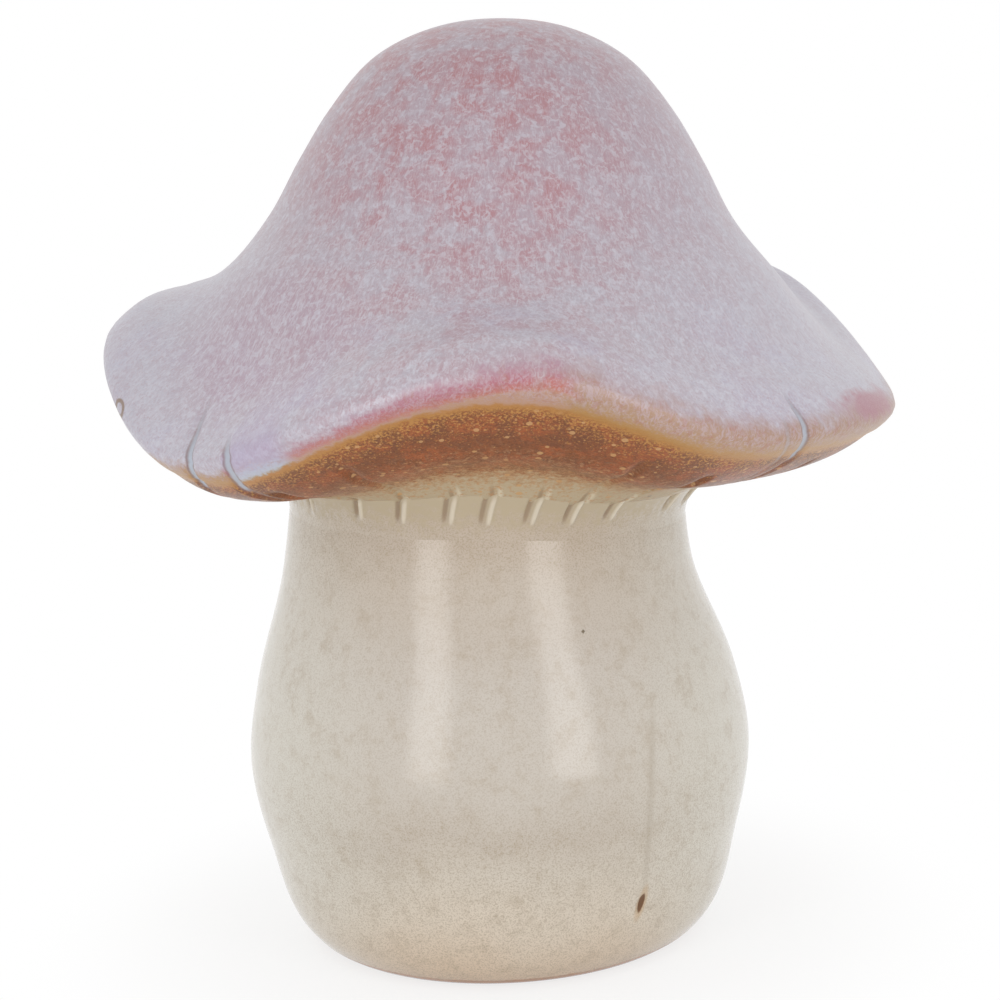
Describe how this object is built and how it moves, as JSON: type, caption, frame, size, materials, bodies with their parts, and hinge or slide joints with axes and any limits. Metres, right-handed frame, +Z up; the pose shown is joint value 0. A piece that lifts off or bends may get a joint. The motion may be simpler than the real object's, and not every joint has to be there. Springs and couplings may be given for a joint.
{
  "type": "ceramic mushroom ornament",
  "caption": "Hollow ceramic mushroom with a wide wavy cap, gill grooves under its rolled rim and a pot-bellied stem on a flat foot.",
  "frame": {"origin": "middle of the flat foot that the mushroom stands on", "axes": "+Z up the stem's axis; -Y is the front, the side seen in the picture; the cap is set slightly towards +X and tipped that way"},
  "size_m": [0.1065, 0.107, 0.125],
  "materials": {
    "cap_reactive_glaze": "glossy mottled lilac-grey over brown",
    "stem_cream_glaze": "glossy cream with fine speckle",
    "joint_glaze": "glossy cream"
  },
  "bodies": {
    "root": {"cap": "cap_reactive_glaze", "stem": "stem_cream_glaze", "slip_joint": "joint_glaze"}
  },
  "joints": []
}
